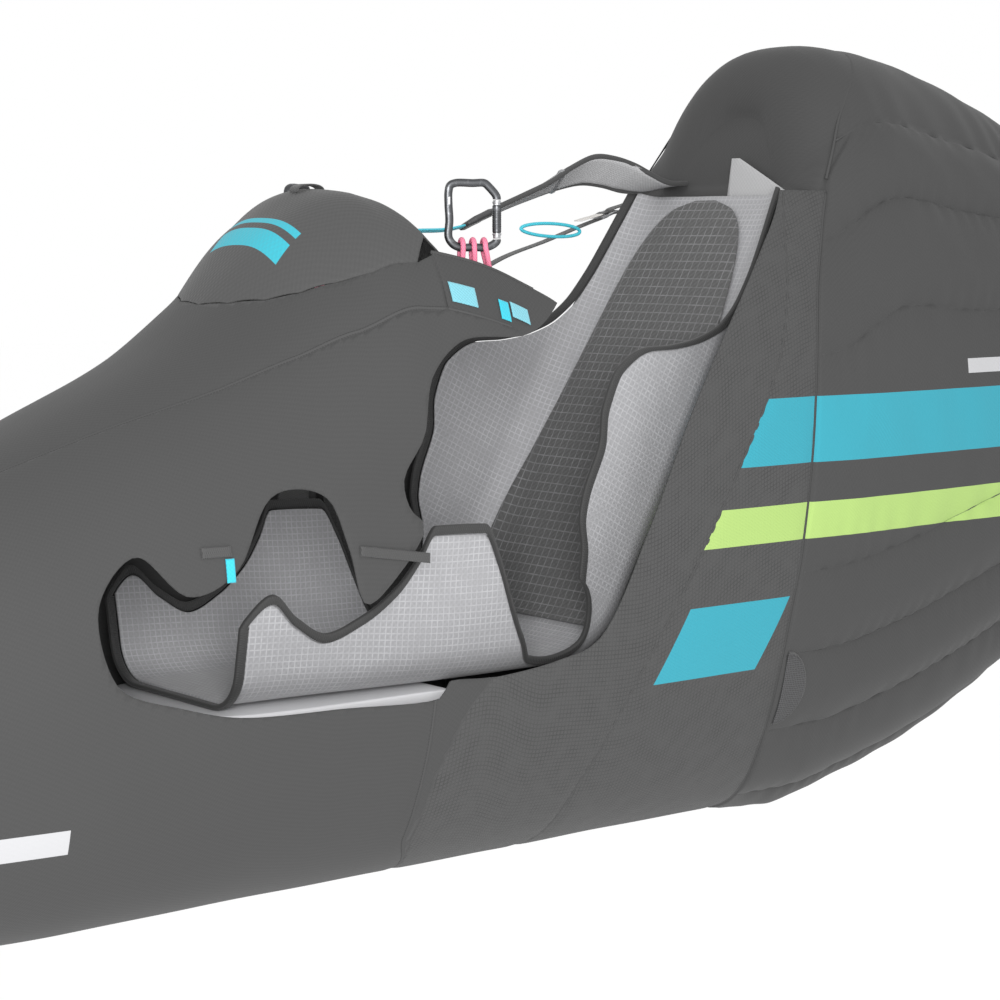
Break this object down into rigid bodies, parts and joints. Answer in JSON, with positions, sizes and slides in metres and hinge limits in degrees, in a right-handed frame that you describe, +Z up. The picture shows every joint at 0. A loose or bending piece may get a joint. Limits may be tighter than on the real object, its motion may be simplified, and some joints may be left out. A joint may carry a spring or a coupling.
{
  "type": "paragliding pod harness",
  "caption": "Pod harness for free flight: cloth cocoon with an inflated tail fairing, cut away on one side to show the seat, straps and carabiners",
  "frame": {"origin": "On the flat of the belly, on the middle plane, under the hip notch of the seat", "axes": "+Z up, the foot end points to -X and the tail to +X, the cut-away side faces -Y"},
  "size_m": [2.73, 0.5074, 1.0567],
  "materials": {
    "leg_cover": "woven, matt",
    "pod_body": "woven, matt",
    "hip_panel": "woven, matt",
    "flank_panel": "woven, matt",
    "rim_band_near": "woven, matt",
    "rim_band_far": "woven, matt",
    "tail_fairing": "woven, matt",
    "cockpit_cover": "woven, matt",
    "seat_shell": "woven, matt",
    "back_pad": "woven, matt",
    "seat_binding": "woven, matt",
    "seat_board": "moulded, matt",
    "rim_patch_front": "woven, matt",
    "rim_patch_rear": "woven, matt",
    "rim_tab": "woven, matt",
    "side_strap_front": "woven, matt",
    "side_strap_rear": "woven, matt",
    "side_pull": "woven, matt",
    "intake_mesh_near": "woven, matt",
    "intake_mesh_far": "woven, matt",
    "carabiner_near": "anodised, satin",
    "carabiner_far": "anodised, satin",
    "gate_near": "anodised, satin",
    "gate_far": "anodised, satin",
    "load_strap_near": "woven, matt",
    "load_strap_far": "woven, matt",
    "shoulder_strap": "woven, matt",
    "strap_root_near": "woven, matt",
    "chest_buckle": "moulded, matt",
    "chest_pull": "woven, matt",
    "adjuster_top": "woven, matt",
    "adjuster_strap": "woven, matt",
    "adjuster_tail": "woven, matt",
    "ladder_lock": "anodised, satin",
    "adjuster_pull": "woven, matt",
    "cord_loop_near_1": "woven, matt",
    "cord_loop_near_2": "woven, matt",
    "cord_loop_near_3": "woven, matt",
    "cord_loop_far_1": "woven, matt",
    "cord_loop_far_2": "woven, matt",
    "cord_loop_far_3": "woven, matt"
  },
  "bodies": {
    "harness": {"leg_cover": "leg_cover", "pod_body": "pod_body", "hip_panel": "hip_panel", "flank_panel": "flank_panel", "rim_band_near": "rim_band_near", "rim_band_far": "rim_band_far", "tail_fairing": "tail_fairing", "cockpit_cover": "cockpit_cover", "seat_shell": "seat_shell", "back_pad": "back_pad", "seat_binding": "seat_binding", "seat_board": "seat_board", "rim_patch_front": "rim_patch_front", "rim_patch_rear": "rim_patch_rear", "rim_tab": "rim_tab", "side_strap_front": "side_strap_front", "side_strap_rear": "side_strap_rear", "side_pull": "side_pull", "intake_mesh_near": "intake_mesh_near", "intake_mesh_far": "intake_mesh_far", "carabiner_near": "carabiner_near", "carabiner_far": "carabiner_far", "load_strap_near": "load_strap_near", "load_strap_far": "load_strap_far", "shoulder_strap": "shoulder_strap", "strap_root_near": "strap_root_near", "chest_buckle": "chest_buckle", "chest_pull": "chest_pull", "adjuster_top": "adjuster_top", "adjuster_strap": "adjuster_strap", "adjuster_tail": "adjuster_tail", "ladder_lock": "ladder_lock", "adjuster_pull": "adjuster_pull", "cord_loop_near_1": "cord_loop_near_1", "cord_loop_near_2": "cord_loop_near_2", "cord_loop_near_3": "cord_loop_near_3", "cord_loop_far_1": "cord_loop_far_1", "cord_loop_far_2": "cord_loop_far_2", "cord_loop_far_3": "cord_loop_far_3"},
    "gate_near": {"gate_near": "gate_near"},
    "gate_far": {"gate_far": "gate_far"}
  },
  "joints": [
    {"name": "gate_near_hinge", "type": "hinge", "parent": "harness", "child": "gate_near", "pos_m": [-0.07649, -0.19736, 0.787], "axis": [-0.4226, -0.9063, 0], "range_deg": [0, 22], "stiffness_Nm_per_rad": 0.02},
    {"name": "gate_far_hinge", "type": "hinge", "parent": "harness", "child": "gate_far", "pos_m": [-0.07649, 0.19736, 0.787], "axis": [0.4226, -0.9063, 0], "range_deg": [0, 22], "stiffness_Nm_per_rad": 0.02}
  ]
}
